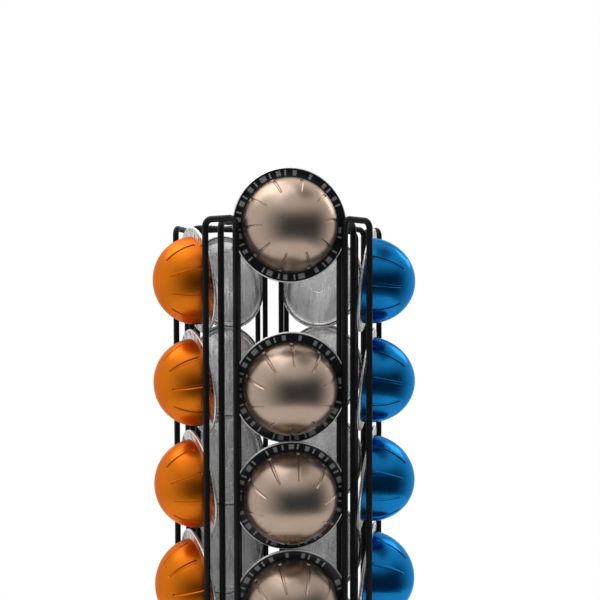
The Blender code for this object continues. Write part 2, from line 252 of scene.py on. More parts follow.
def anodised(name, colour, shade, edge_tint, roughness, dent_size, dent_depth, lacquer=0.05):
    """Satin coloured aluminium, drawn into a dome: faint streaks down its side, soft shallow dents, and
    painted shade that darkens it towards its foot.
    """
    coat = {"Coat_Weight": lacquer, "Coat_Roughness": LACQUER_ROUGHNESS}
    finish = Finish(name, Metallic=1.0, Specular_Tint=(*edge_tint, 1), **coat)
    across, up, radius = face_point(finish)
    place = finish.place()
    streaks = round_noise(finish, across, up, radius, **DOME_STREAKS)
    blots = finish.noise(place, dent_size, 3)
    grain = finish.noise(place, DOME_GRAIN)
    # Painted shade: the colour darkens towards the dome's foot, where it meets the flange
    edge = radius.ramp(DOME_RADIUS / MM * FOOT_SHADE_START, DOME_RADIUS / MM)
    tone = (streaks - 0.5) * 0.25 + (blots - 0.5) * 0.35 + edge * 0.5
    colour_field = finish.mix(tone.math("MAXIMUM", 0.0), (*colour, 1), (*shade, 1))
    rough = roughness + (streaks - 0.5) * 0.06 + (blots - 0.5) * 0.08 + edge * 0.04
    height = blots + grain * 0.025
    return finish.feed(Base_Color=colour_field, Roughness=rough, Normal=finish.bump(height, dent_depth))


# The bars printed round a flange, a narrow one and a block in each cell, in shares of the cell
BAR_CELLS = 20
BLOCK_SEED = 5
BAR_SEED = 45
BAR_MIDDLE = 0.1
BAR_SHIFT = 0.1
BAR_HALF = 0.05
BAR_CHANCE = (0.15, 0.16)
BLOCK_MIDDLE = 0.58
BLOCK_HALF = 0.05
BLOCK_GROWTH = 0.16
BLOCK_CHANCE = (0.2, 0.21)
BAR_BLUR = 0.02

# The printed ring's margins and its hatching's pitch, in millimetres, and the hatching's edge in pitches
RING_INNER_MARGIN = 1.0
RING_OUTER_MARGIN = 1.5
RING_BLUR = 0.15
HATCH_PITCH = 1.1
HATCH_EDGE = (0.28, 0.4)


def bar_ring(finish, across, up, radius):
    """A narrow bar and a wider block in each cell round the flange, and the blocks' hatching. Each cell
    draws two chances, which shift the bar, widen the block, and leave either out where they are low."""
    cell = (up.math("ARCTAN2", across) / math.tau + 0.5) * BAR_CELLS
    index = cell.math("FLOOR")
    inside = cell.math("FRACT")
    block_chance, bar_chance = (
        finish.node("TexWhiteNoise", {"noise_dimensions": "1D"}, {"W": index + seed}, "Value")
        for seed in (BLOCK_SEED, BAR_SEED)
    )
    from_bar = (inside - BAR_MIDDLE - bar_chance * BAR_SHIFT).math("ABSOLUTE")
    bar = (BAR_HALF - from_bar).ramp(-BAR_BLUR, BAR_BLUR) * bar_chance.ramp(*BAR_CHANCE)
    from_block = (inside - BLOCK_MIDDLE).math("ABSOLUTE")
    block = (BLOCK_HALF + block_chance * BLOCK_GROWTH - from_block).ramp(-BAR_BLUR, BAR_BLUR)
    block = block * block_chance.ramp(*BLOCK_CHANCE)
    line = ((radius / HATCH_PITCH).math("FRACT") - 0.5).math("ABSOLUTE").ramp(*HATCH_EDGE)
    inner, outer = DOME_RADIUS / MM + RING_INNER_MARGIN, RIM_RADIUS / MM - RING_OUTER_MARGIN
    return bar.math("MAXIMUM", block) * radius.band(inner, outer, RING_BLUR), line * block


# A printed flange's colours
LACQUER_BLACK = (0.004, 0.004, 0.005, 1)
BAR_GREY = (0.15, 0.15, 0.155, 1)
EDGE_SILVER = (0.78, 0.78, 0.77, 1)

# A bare flange's silver, and the shade painted into its creases
FLANGE_SILVER = (0.80, 0.80, 0.79, 1)
CREASE_SHADE = (0.05, 0.047, 0.045, 1)

# Where a printed flange turns bare and where the painted crease shade lies, in from the flange's sides in
# millimetres
BARE_EDGE = (0.75, 0.5)
CREASE_INNER_MARGIN = 0.2
CREASE_OUTER_MARGIN = 0.9
CREASE_BLUR = 0.25


def printed_rim(name):
    """A black lacquered flange with a ring of grey bars, and a bright rolled edge."""
    coat = {"Coat_Weight": 0.08, "Coat_Roughness": LACQUER_ROUGHNESS}
    finish = Finish(name, Specular_IOR_Level=0.25, **coat)
    across, up, radius = face_point(finish)
    bars, hatch = bar_ring(finish, across, up, radius)
    creases = round_noise(finish, across, up, radius, around=16, along=9)
    bare = radius.ramp(*(RIM_RADIUS / MM - inwards for inwards in BARE_EDGE))
    printed = finish.mix(bars * (1 - hatch * 0.7), LACQUER_BLACK, BAR_GREY)
    colour = finish.mix(bare, printed, EDGE_SILVER)
    metal = 0.1 + bare * 0.9
    rough = 0.34 + (creases - 0.5) * 0.12 + bars * 0.08
    normal = finish.bump(creases + bars * 0.4, 0.1 * MM)
    return finish.feed(Base_Color=colour, Metallic=metal, Roughness=rough, Normal=normal)


def bare_rim(name):
    """Bare aluminium, drawn in at the flange, so that it is full of short radial creases, with painted
    shade in them.
    """
    finish = Finish(name, Metallic=1.0)
    across, up, radius = face_point(finish)
    creases = round_noise(finish, across, up, radius, around=17, along=16)
    fine = round_noise(finish, across, up, radius, around=60, along=6)
    inner, outer = DOME_RADIUS / MM + CREASE_INNER_MARGIN, RIM_RADIUS / MM - CREASE_OUTER_MARGIN
    ring = radius.band(inner, outer, CREASE_BLUR)
    # Painted shade: dark radial lines along the creases, mixed into the silver
    dark = (1 - (creases - 0.5).math("ABSOLUTE").ramp(0.015, 0.075)) * ring
    colour = finish.mix(dark * 0.95, FLANGE_SILVER, CREASE_SHADE)
    rough = 0.3 + (fine - 0.5) * 0.2
    height = creases * 1.2 + fine * 0.4
    return finish.feed(Base_Color=colour, Roughness=rough, Normal=finish.bump(height, 0.3 * MM))


# The foil's colours, and the near-black of the shade painted at its edge and in its pressed ring
FOIL_GREY = (0.71, 0.71, 0.715, 1)
FOIL_BRIGHT = (0.91, 0.905, 0.895, 1)
FOIL_GAP_SHADE = (0.06, 0.06, 0.06, 1)

# The foil's streaks and waves: how wide they are, and the squeeze that draws them out
FOIL_STREAKS = {"width": 3.2 * MM, "squeeze": 0.09}
FOIL_HAIRLINES = {"width": 0.9 * MM, "squeeze": 0.12}
FOIL_WAVES = {"width": 9 * MM, "squeeze": 0.4}
FOIL_FOLDS = 2.4 * MM

# The foil's outer ring about the pressed one, its inner ring, and its painted gap shade in from its edge,
# in millimetres
OUTER_RING = (-0.6, 0.4)
OUTER_RING_BLUR = 0.3
INNER_RING = (6.6, 7.1, 0.12)
GAP_SHADE_EDGE = (0.85, 0.45)


def foil_lid(name):
    """Satin foil: a slightly wavy sheet with long soft streaks from rolling, and pressed rings, with
    painted shade in the gap at its edge and in the outer pressed ring.
    """
    finish = Finish(name, Specular_IOR_Level=0.5)
    across, up, radius = face_point(finish)
    place = finish.place()
    streaks = finish.drawn_noise(place, **FOIL_STREAKS)
    hairlines = finish.drawn_noise(place, **FOIL_HAIRLINES)
    waves = finish.drawn_noise(place, **FOIL_WAVES)
    folds = finish.noise(place, FOIL_FOLDS, 3)
    ring = radius.band(*(FOIL_RING_RADIUS / MM + outwards for outwards in OUTER_RING), OUTER_RING_BLUR)
    gap_shade = radius.ramp(*(FOIL_RADIUS / MM - inwards for inwards in GAP_SHADE_EDGE))
    rings = ring + radius.band(*INNER_RING) * 0.6
    tone = waves * 0.3 + folds * 0.15 + streaks * 0.45 + hairlines * 0.1
    colour = finish.mix(tone.ramp(0.36, 0.62), FOIL_GREY, FOIL_BRIGHT)
    # Painted shade: near-black in the gap between the foil's edge and the rolled bead, and a lesser
    # darkening in the outer pressed ring
    colour = finish.mix((ring * 0.3).math("MAXIMUM", gap_shade * 0.85), colour, FOIL_GAP_SHADE)
    metal = 0.79 + (streaks - 0.5) * 0.3
    rough = 0.23 + (folds - 0.5) * 0.14 + rings * 0.06
    height = waves * 3.4 + folds * 0.6 + streaks * 0.5 - rings * 0.5
    normal = finish.bump(height, 0.34 * MM)
    return finish.feed(Base_Color=colour, Metallic=metal, Roughness=rough, Normal=normal)


def powder_coat(name, colour, peel_size, shine, roughness):
    """Satin black powder coat on steel: orange peel, a faint lighter haze, and specks with painted glints
    that catch the light.
    """
    finish = Finish(name, Specular_IOR_Level=shine)
    place = finish.place()
    peel = finish.noise(place, peel_size, 3)
    specks = finish.noise(place, peel_size * 0.35)
    haze = finish.noise(place, 24 * MM)
    glint_and_haze_colour = tuple(part * 2.2 + 0.003 for part in colour)
    # Painted glints: the specks turn lighter in colour as well as smoother; the haze is a faint lighter
    # tone at random
    tone = specks.ramp(0.62, 0.75) * 0.6 + haze.ramp(0.4, 0.8) * 0.25
    colour_field = finish.mix(tone, (*colour, 1), (*glint_and_haze_colour, 1))
    rough = roughness + (peel - 0.5) * 0.18 - specks.ramp(0.6, 0.75) * 0.1
    normal = finish.bump(peel + specks * 0.4, 0.06 * MM)
    return finish.feed(Base_Color=colour_field, Roughness=rough, Normal=normal)


def turned_steel(name, colour, roughness):
    """Bright steel with fine turning marks about the tower's axis."""
    finish = Finish(name, Metallic=1.0)
    place = finish.place()
    across, deep, height = finish.parts(place)
    radius = (across * across + deep * deep).math("SQRT")
    rings = finish.node("CombineXYZ", {}, {"X": radius, "Y": 0.0, "Z": height})
    marks = finish.noise(rings, 0.4 * MM)
    stains = finish.noise(place, 6 * MM, 3)
    darker = tuple(part * 0.72 for part in colour)
    colour_field = finish.mix(stains.ramp(0.35, 0.75), (*colour, 1), (*darker, 1))
    rough = roughness + (marks - 0.5) * 0.2
    return finish.feed(Base_Color=colour_field, Roughness=rough, Normal=finish.bump(marks, 0.04 * MM))


def moulded(name, colour, roughness, grain_size):
    """Moulded nylon or rubber: matt, with a fine grain and faint clouding."""
    finish = Finish(name, IOR=1.5)
    place = finish.place()
    grain = finish.noise(place, grain_size, 3)
    cloud = finish.noise(place, 8 * MM)
    paler = tuple(min(1.0, part * 1.35 + 0.01) for part in colour)
    colour_field = finish.mix(cloud.ramp(0.3, 0.8) * 0.6, (*colour, 1), (*paler, 1))
    rough = roughness + (grain - 0.5) * 0.12
    return finish.feed(Base_Color=colour_field, Roughness=rough, Normal=finish.bump(grain, 0.05 * MM))


# Every finish, under the name of its slot in the record
FINISHES = {}


def make_finishes():
    FINISHES.update({
        "capsule_bronze": anodised(
            "bronze_dome",
            colour=(0.44, 0.337, 0.268),
            shade=(0.25, 0.18, 0.14),
            edge_tint=(1, 0.9, 0.82),
            roughness=0.29,
            dent_size=9 * MM,
            dent_depth=0.035 * MM,
        ),
        "capsule_orange": anodised(
            "orange_dome",
            colour=(0.68, 0.17, 0.002),
            shade=(0.42, 0.07, 0.001),
            edge_tint=(1, 0.5, 0.12),
            roughness=0.36,
            dent_size=9 * MM,
            dent_depth=0.05 * MM,
            lacquer=0.15,
        ),
        "capsule_blue": anodised(
            "blue_dome",
            colour=(0.002, 0.185, 0.47),
            shade=(0.001, 0.09, 0.27),
            edge_tint=(0.15, 0.65, 1),
            roughness=0.19,
            dent_size=6 * MM,
            dent_depth=0.11 * MM,
            lacquer=0.12,
        ),
        "rim_black": printed_rim("printed_black_rim"),
        "rim_silver": bare_rim("creased_silver_rim"),
        "capsule_foil": foil_lid("foil_lid"),
        "black_wire": powder_coat(
            "black_wire_coat", (0.0035, 0.0035, 0.004), peel_size=0.5 * MM, shine=0.15, roughness=0.4
        ),
        "black_sheet": powder_coat(
            "black_sheet_coat", (0.007, 0.007, 0.008), peel_size=0.7 * MM, shine=0.3, roughness=0.42
        ),
        "bearing_steel": turned_steel("bearing_steel", (0.50, 0.50, 0.51), roughness=0.26),
        "zinc_steel": turned_steel("zinc_plated_steel", (0.62, 0.62, 0.60), roughness=0.32),
        "nylon": moulded("natural_nylon", (0.72, 0.70, 0.64), roughness=0.46, grain_size=0.3 * MM),
        "rubber": moulded("black_rubber", (0.018, 0.018, 0.018), roughness=0.8, grain_size=0.4 * MM),
    })


def deselect():
    bpy.ops.object.select_all(action="DESELECT")


def pick_piece(piece):
    """Makes a piece the only one selected, and the one that operators act on."""
    deselect()
    piece.select_set(True)
    bpy.context.view_layer.objects.active = piece


def start_ring(sides, radius, height):
    """Opens a new mesh in edit mode: a ring of edges about the Z axis, all selected."""
    deselect()
    bpy.ops.mesh.primitive_circle_add(
        vertices=sides, radius=radius, location=(0, 0, height), enter_editmode=True
    )


def draw_on(step):
    """Draws new faces out of the selected ring, and leaves their far edge selected."""
    bpy.ops.mesh.extrude_edges_move(TRANSFORM_OT_translate={"value": step})


def close_mesh():
    """Merges doubles and turns the faces outwards, in edit mode."""
    bpy.ops.mesh.select_all(action="SELECT")
    bpy.ops.mesh.remove_doubles(threshold=MERGE_DISTANCE)
    bpy.ops.mesh.normals_make_consistent(inside=False)


def finish_mesh(name):
    """Leaves edit mode, puts the object's place into its mesh and smooths it."""
    bpy.ops.object.mode_set(mode="OBJECT")
    piece = bpy.context.object
    piece.name = name
    bpy.ops.object.transform_apply(location=True, rotation=True, scale=True)
    bpy.ops.object.shade_smooth_by_angle(angle=SMOOTH_ANGLE)
    return piece


def turned(name, outline, sides):
    """A shape turned about Z, from points of (radius, height). An outline that ends on the axis makes a
    solid, with a flat face across its first ring. Any other is drawn back to its first point, as a ring."""
    start_ring(sides, *outline[0])
    if outline[-1][0] == 0:
        bpy.ops.mesh.edge_face_add()
        bpy.ops.mesh.poke()
        select_open_ring()
    else:
        outline = [*outline, outline[0]]
    for (radius, height), (next_radius, next_height) in zip(outline, outline[1:]):
        draw_on((0, 0, next_height - height))
        if next_radius == 0:
            bpy.ops.mesh.merge(type="CENTER")
        elif next_radius != radius:
            scale = next_radius / radius
            bpy.ops.transform.resize(value=(scale, scale, 1), center_override=(0, 0, next_height))
    close_mesh()
    return finish_mesh(name)


def select_open_ring():
    """Selects the edges round the open side, once a centre has been made inside them."""
    shape = bmesh.from_edit_mesh(bpy.context.object.data)
    bpy.ops.mesh.select_all(action="DESELECT")
    for edge in shape.edges:
        if edge.is_boundary:
            edge.select_set(True)
    bmesh.update_edit_mesh(bpy.context.object.data)


def pick_faces(test):
    """In edit mode, selects only the faces whose middle passes a test."""
    bpy.ops.mesh.select_mode(type="FACE")
    bpy.ops.mesh.select_all(action="DESELECT")
    shape = bmesh.from_edit_mesh(bpy.context.object.data)
    for face in shape.faces:
        face.select_set(test(face.calc_center_median()))
    bmesh.update_edit_mesh(bpy.context.object.data)


def map_face(piece):
    """Gives a capsule's piece its face coordinates: each corner's place across the capsule, from 0 to 1."""
    layer = piece.data.uv_layers.new(name="face")
    for loop in piece.data.loops:
        point = piece.data.vertices[loop.vertex_index].co
        layer.data[loop.index].uv = (point.x / RIM_RADIUS / 2 + 0.5, point.y / RIM_RADIUS / 2 + 0.5)


def copy_piece(master, name, place, body, slot):
    """A copy with its own mesh, moved to its place, in its finish and riding on its body."""
    piece = bpy.data.objects.new(name, master.data.copy())
    bpy.context.scene.collection.objects.link(piece)
    piece.data.transform(place)
    dress(piece, body, slot)
    return piece


def dress(piece, body, slot):
    """Gives a piece the finish of its slot, and the body that it rides on."""
    piece.data.materials.clear()
    piece.data.materials.append(FINISHES[slot])
    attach(piece, body)


# Grooves pressed into a dome, radially
GROOVES = 10
FIRST_GROOVE = math.pi / 2 + math.pi / CUP_SIDES
GROOVE_FIRST_RING = 1
GROOVE_LAST_RING = 9
GROOVE_EDGE = 0.08 * MM
GROOVE_SLOPE = 0.6 * MM
GROOVE_DEPTH = 0.52 * MM
GROOVE_SMOOTH_ANGLE = math.radians(18)
CUP_FLOOR = 1.4 * MM
CUP_FOOT = 0.4 * MM


def dome_master(name, height):
    """The cup: a dome with ten grooves pressed into it, closed behind the foil."""
    outline = [(DOME_RADIUS - CUP_FOOT, -CUP_FLOOR), (DOME_RADIUS - CUP_FOOT, -CUP_FOOT)]
    for ring in range(CUP_RINGS):
        angle = math.pi / 2 * ring / CUP_RINGS
        outline.append((DOME_RADIUS * math.cos(angle), height * math.sin(angle)))
    outline.append((0, height))
    cup = turned(name, outline, CUP_SIDES)

    first_angle = math.pi / 2 * GROOVE_FIRST_RING / CUP_RINGS
    last_angle = math.pi / 2 * GROOVE_LAST_RING / CUP_RINGS
    side_angle = math.tau / CUP_SIDES

    def in_groove(point):
        turn = math.atan2(point.y, point.x)
        from_groove = (turn - FIRST_GROOVE) % (math.tau / GROOVES)
        near = min(from_groove, math.tau / GROOVES - from_groove) < side_angle / 4
        low = height * math.sin(first_angle) < point.z
        high = point.z < height * math.sin(last_angle)
        return near and low and high

    pick_piece(cup)
    bpy.ops.object.mode_set(mode="EDIT")
    pick_faces(in_groove)
    bpy.ops.mesh.inset(thickness=GROOVE_EDGE, depth=0)
    bpy.ops.mesh.inset(thickness=GROOVE_SLOPE, depth=-GROOVE_DEPTH)
    bpy.ops.object.mode_set(mode="OBJECT")
    bpy.ops.object.shade_smooth_by_angle(angle=GROOVE_SMOOTH_ANGLE)
    map_face(cup)
    return cup


# The flange and its rolled edge
BEAD_RADIUS = 0.78 * MM
BEAD_STEPS = 10
BEAD_START = math.radians(110)
BEAD_SWEEP = math.radians(250)
FLANGE_SHEET = 0.3 * MM
FLANGE_DIP = 0.12 * MM
FLANGE_RISE = 0.25 * MM
FLANGE_BEND = 0.3 * MM


def rim_master(name):
    """The flange round the dome's foot, with its edge rolled back towards the foil."""
    bead_middle = RIM_RADIUS - BEAD_RADIUS
    outline = [(DOME_RADIUS - CUP_FOOT, FLANGE_RISE), (DOME_RADIUS + FLANGE_BEND, -FLANGE_DIP)]
    for step in range(BEAD_STEPS + 1):
        angle = BEAD_START - BEAD_SWEEP * step / BEAD_STEPS
        across = bead_middle + BEAD_RADIUS * math.cos(angle)
        outline.append((across, -BEAD_RADIUS + BEAD_RADIUS * math.sin(angle)))
    outline += [
        (bead_middle - BEAD_RADIUS, -FLANGE_DIP - 2 * FLANGE_SHEET),
        (DOME_RADIUS - CUP_FOOT, -FLANGE_DIP - 2 * FLANGE_SHEET),
    ]
    rim = turned(name, outline, RIM_SIDES)
    map_face(rim)
    return rim


# The foil lid, behind the rim
FOIL_KINDS = 5
FOIL_RADIUS = RIM_RADIUS - 1.35 * MM
FOIL_SHEET = 0.16 * MM
FOIL_EDGE = 0.4 * MM
FOIL_CREASE = 0.05 * MM
FOIL_RING_RADIUS = 26.8 * MM
FOIL_RING_DEPTH = 0.18 * MM
FOIL_BULGE = 2.1 * MM

# The pressed ring's corners, outwards from its middle, and other rings as shares of its radius
RING_OUTER_FOOT = 0.9 * MM
RING_OUTER_TOP = 0.3 * MM
RING_INNER_TOP = -0.5 * MM
RING_INNER_FOOT = -1.3 * MM
CREASED_WITHIN = -1.5 * MM
BULGE_RINGS = (0.84, 0.74, 0.64, 0.54, 0.44, 0.34, 0.24, 0.14, 0.06)
FRONT_RING = 0.2


def foil_master(name, seed):
    """The foil: a thin disc with a pressed ring, creased a little, each kind in its own way."""
    back = -RIM_THICKNESS + 2 * FOIL_CREASE
    ring = FOIL_RING_RADIUS
    outline = [
        (FRONT_RING * ring, back + FOIL_SHEET),
        (FOIL_RADIUS - FOIL_EDGE, back + FOIL_SHEET),
        (FOIL_RADIUS, back + FOIL_SHEET / 2),
        (FOIL_RADIUS - FOIL_EDGE, back),
        (ring + RING_OUTER_FOOT, back),
        (ring + RING_OUTER_TOP, back + FOIL_RING_DEPTH),
        (ring + RING_INNER_TOP, back + FOIL_RING_DEPTH),
        (ring + RING_INNER_FOOT, back),
    ]
    outline += [(share * ring, back - FOIL_BULGE * (1 - share**2)) for share in (*BULGE_RINGS, 0)]
    foil = turned(name, outline, FOIL_SIDES)
    pick_piece(foil)
    bpy.ops.object.mode_set(mode="EDIT")
    pick_faces(lambda point: point.xy.length < ring + CREASED_WITHIN and point.z < back + FOIL_SHEET / 2)
    bpy.ops.transform.vertex_random(offset=FOIL_CREASE, uniform=0.0, normal=1.0, seed=seed)
    bpy.ops.mesh.vertices_smooth(factor=0.5, repeat=1)
    bpy.ops.object.mode_set(mode="OBJECT")
    map_face(foil)
    return foil


def capsule_place(column, row, turn):
    """From a capsule's own frame, whose Z is its axis, to where it lies in the tower."""
    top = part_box(f"capsule_{COLUMNS[column]}_{row}")[1].z
    lean = DRAWN_LEAN if (column, row) == (0, 1) else LEAN
    height = top - RIM_RADIUS * math.cos(lean) - RIM_THICKNESS * math.sin(lean)
    angle = column * COLUMN_TURN
    middle = Vector((RIM_FRONT * math.sin(angle), -RIM_FRONT * math.cos(angle), height))
    stand = Euler((math.pi / 2 + lean, 0, angle)).to_matrix().to_4x4()
    return Matrix.Translation(middle) @ stand @ Matrix.Rotation(turn, 4, "Z")


# Each column's dome finish and rim finish, in the order of COLUMNS
DOME_SLOTS = ("capsule_bronze", "capsule_blue", "capsule_orange", "capsule_blue", "capsule_orange")
RIM_SLOTS = ("rim_black", "rim_silver", "rim_silver", "rim_silver", "rim_silver")
DEEP_SLOT = "capsule_blue"

# How far each capsule is turned about its own axis: the first two of the front column as in the photograph
FIRST_TURNS = (5, 18)
NEXT_TURN = 131


def add_capsules():
    """Each capsule as a cup, a rim and a foil, copied from their masters."""
    dome = dome_master("dome_master", DOME_HEIGHT)
    deep_dome = dome_master("deep_dome_master", DEEP_DOME_HEIGHT)
    rim = rim_master("rim_master")
    foils = [foil_master(f"foil_master_{kind}", kind + 1) for kind in range(FOIL_KINDS)]
    for column, column_name in enumerate(COLUMNS):
        for row in range(1, ROWS + 1):
            node = f"capsule_{column_name}_{row}"
            body = f"top_capsule_{column_name}" if row == 1 else "carousel"
            count = column * ROWS + row - 1
            degrees = FIRST_TURNS[count] if count < len(FIRST_TURNS) else count * NEXT_TURN
            place = capsule_place(column, row, math.radians(degrees) - FIRST_GROOVE)
            slot = DOME_SLOTS[column]
            master = deep_dome if slot == DEEP_SLOT else dome
            cup = copy_piece(master, node + "_cup", place, body, slot)
            copy_piece(rim, node + "_rim", place, body, RIM_SLOTS[column])
            copy_piece(foils[count % FOIL_KINDS], node + "_foil", place, body, "capsule_foil")
            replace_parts(cup, node)
    for master in (dome, deep_dome, rim, *foils):
        bpy.data.objects.remove(master)


# Steps round a wire's bends and along its top bar
BEND_STEPS = 10
BAR_STEPS = 28


def wire_master(name, half, corner, bar_height):
    """A round wire bent into an upside-down U in the plane y = 0, from one foot to the other. bar_height
    gives the bar's rise over its middle height, at each place along it."""
    leg = TOP_BAR - corner - WIRE_FOOT
    start = half - corner
    start_ring(WIRE_SIDES, WIRE_RADIUS, WIRE_FOOT)
    bpy.ops.transform.translate(value=(half, 0, 0))
    draw_on((0, 0, leg))
    bend(start, TOP_BAR - corner)
    places = [start - 2 * start * step / BAR_STEPS for step in range(BAR_STEPS + 1)]
    for before, after in zip(places, places[1:]):
        rise = bar_height(after) - bar_height(before)
        draw_on((after - before, 0, rise))
    bend(-start, TOP_BAR - corner)
    draw_on((0, 0, -leg))
    bpy.ops.mesh.select_all(action="SELECT")
    bpy.ops.mesh.fill_holes(sides=0)
    close_mesh()
    return finish_mesh(name)


def bend(centre_x, centre_z):
    """Spins the selected ring a quarter turn towards -X, or down, about a corner's centre."""
    bpy.ops.mesh.spin(steps=BEND_STEPS, angle=math.pi / 2, center=(centre_x, 0, centre_z), axis=(0, 1, 0))


def corner_place(distance, corner):
    """From the plane y = 0 to a wire's plane, this far from the tower's axis, at a corner."""
    angle = (corner + 0.5) * COLUMN_TURN
    middle = Vector((distance * math.sin(angle), -distance * math.cos(angle), 0))
    return Matrix.Translation(middle) @ Matrix.Rotation(angle, 4, "Z")


def weave(along):
    """The star's bar: over one crossing, at +x, and under the other, in one smooth wave."""
    crossing = STAR_DISTANCE * math.tan(COLUMN_TURN / 2)
    end = STAR_HALF - STAR_CORNER
    if abs(along) < crossing:
        return WEAVE_LIFT * math.sin(math.pi / 2 * along / crossing)
    fall = (abs(along) - crossing) / (end - crossing)
    return math.copysign(WEAVE_LIFT, along) * (0.5 + 0.5 * math.cos(math.pi * fall))


def add_wires():
    hairpin = wire_master("hairpin_master", HAIRPIN_HALF, HAIRPIN_CORNER, lambda along: 0.0)
    star = wire_master("star_master", STAR_HALF, STAR_CORNER, weave)
    for corner, corner_name in enumerate(CORNERS):
        name = "hairpin_" + corner_name
        place = corner_place(HAIRPIN_DISTANCE, corner)
        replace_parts(copy_piece(hairpin, name + "_wire", place, "carousel", "black_wire"), name)
        name = "star_wire_" + corner_name
        place = corner_place(STAR_DISTANCE, corner)
        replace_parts(copy_piece(star, name + "_bent", place, "carousel", "black_wire"), name)
    for master in (hairpin, star):
        bpy.data.objects.remove(master)


# The bead round a wire's foot: how far outside the wire and how high over the plate, in millimetres
FOOT_WELD = ((-0.3, 0), (1.0, 0), (0.75, 0.35), (0.3, 0.75), (-0.05, 1.3), (-0.3, 1.2))

# The weld where two wires of the star cross: its size, and its points as shares of it
CROSSING_WELD_RADIUS = 1.6 * MM
CROSSING_WELD_HALF = 0.8 * MM
CROSSING_WELD = ((0.5, -1), (0.88, -0.6), (1, 0), (0.88, 0.6), (0.5, 1), (0, 1))


def add_foot_welds():
    """A weld bead round each wire's foot, on the plate."""
    outline = [(WIRE_RADIUS + outside * MM, PLATE_TOP + high * MM) for outside, high in FOOT_WELD]
    bead = turned("weld_master", outline, WIRE_SIDES)
    for corner, corner_name in enumerate(CORNERS):
        for kind, distance, half in (
            ("hairpin", HAIRPIN_DISTANCE, HAIRPIN_HALF),
            ("star", STAR_DISTANCE, STAR_HALF),
        ):
            for side in (-1, 1):
                place = corner_place(distance, corner) @ Matrix.Translation((side * half, 0, 0))
                name = f"weld_{kind}_{corner_name}_{'left' if side < 0 else 'right'}"
                copy_piece(bead, name, place, "carousel", "black_wire")
    bpy.data.objects.remove(bead)


def add_crossing_welds():
    """A weld in each crossing of the star."""
    outline = [(out * CROSSING_WELD_RADIUS, TOP_BAR + up * CROSSING_WELD_HALF) for out, up in CROSSING_WELD]
    nugget = turned("crossing_weld_master", outline, WIRE_SIDES)
    reach = STAR_DISTANCE / math.cos(COLUMN_TURN / 2)
    for column, column_name in enumerate(COLUMNS):
        angle = column * COLUMN_TURN
        place = Matrix.Translation((reach * math.sin(angle), -reach * math.cos(angle), 0))
        copy_piece(nugget, f"weld_crossing_{column_name}", place, "carousel", "black_wire")
    bpy.data.objects.remove(nugget)


def rounded(radius, height, bend_radius, inner=0.0):
    """Points round an outer top edge, from the top face to the side, or as far inside it as inner says."""
    reach = bend_radius - inner
    points = []
    for step in range(EDGE_STEPS + 1):
        angle = math.pi / 2 * (1 - step / EDGE_STEPS)
        across = radius - bend_radius + reach * math.cos(angle)
        points.append((across, height - bend_radius + reach * math.sin(angle)))
    return points


# The base and the plate: sheet steel with a rolled edge
SHEET = 1.5 * MM
BASE_EDGE = 3 * MM
PLATE_EDGE = 2.5 * MM
EDGE_STEPS = 8
BASE_LIP = 7 * MM
BASE_CHAMFER = 0.5 * MM
PLATE_CHAMFER = 0.3 * MM
SPINDLE_HOLE = 4.3 * MM
PLATE_HOLE = 6.1 * MM
INNER_RING_SHARE = 0.3

# The rubber ring under the base, with a groove round its underside
FOOT_CHAMFER = 0.6 * MM
FOOT_GROOVE_HALF = 0.8 * MM
FOOT_GROOVE_DEPTH = 0.7 * MM


def add_base():
    """The pressed base, open underneath, with its lip turned in."""
    bottom, top = base_low.z, base_high.z
    outline = [
        (SPINDLE_HOLE, top),
        (INNER_RING_SHARE * BASE_RADIUS, top),
        *rounded(BASE_RADIUS, top, BASE_EDGE),
        (BASE_RADIUS, bottom + BASE_CHAMFER),
        (BASE_RADIUS - BASE_CHAMFER, bottom),
        (BASE_RADIUS - BASE_LIP, bottom),
        (BASE_RADIUS - BASE_LIP, bottom + SHEET),
        (BASE_RADIUS - SHEET, bottom + SHEET),
        *reversed(rounded(BASE_RADIUS, top, BASE_EDGE, SHEET)),
        (INNER_RING_SHARE * BASE_RADIUS, top - SHEET),
        (SPINDLE_HOLE, top - SHEET),
    ]
    base = turned("base_pressing", outline, DISC_SIDES)
    dress(base, "base", "black_sheet")
    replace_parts(base, "base_dish")


def add_foot():
    """The rubber ring under the base's lip."""
    foot_low, foot_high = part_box("foot_ring")
    outer, inner = foot_high.x, BASE_RADIUS - BASE_LIP
    middle = (outer + inner) / 2
    outline = [
        (inner, foot_high.z),
        (outer, foot_high.z),
        (outer, foot_low.z + FOOT_CHAMFER),
        (outer - FOOT_CHAMFER, foot_low.z),
        (middle + FOOT_GROOVE_HALF, foot_low.z),
        (middle, foot_low.z + FOOT_GROOVE_DEPTH),
        (middle - FOOT_GROOVE_HALF, foot_low.z),
        (inner + FOOT_CHAMFER, foot_low.z),
        (inner, foot_low.z + FOOT_CHAMFER),
    ]
    foot = turned("rubber_foot", outline, DISC_SIDES)
    dress(foot, "base", "rubber")
    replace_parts(foot, "foot_ring")


def add_plate():
    """The revolving plate, with its edge turned down."""
    bottom, top = plate_low.z, plate_high.z
    outline = [
        (PLATE_HOLE, top),
        (INNER_RING_SHARE * PLATE_RADIUS, top),
        *rounded(PLATE_RADIUS, top, PLATE_EDGE),
        (PLATE_RADIUS, bottom + PLATE_CHAMFER),
        (PLATE_RADIUS - PLATE_CHAMFER, bottom),
        (PLATE_RADIUS - SHEET + PLATE_CHAMFER, bottom),
        (PLATE_RADIUS - SHEET, bottom + PLATE_CHAMFER),
        *reversed(rounded(PLATE_RADIUS, top, PLATE_EDGE, SHEET)),
        (INNER_RING_SHARE * PLATE_RADIUS, top - SHEET),
        (PLATE_HOLE, top - SHEET),
    ]
    plate = turned("revolving_plate", outline, DISC_SIDES)
    dress(plate, "carousel", "black_sheet")
    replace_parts(plate, "turntable_plate")


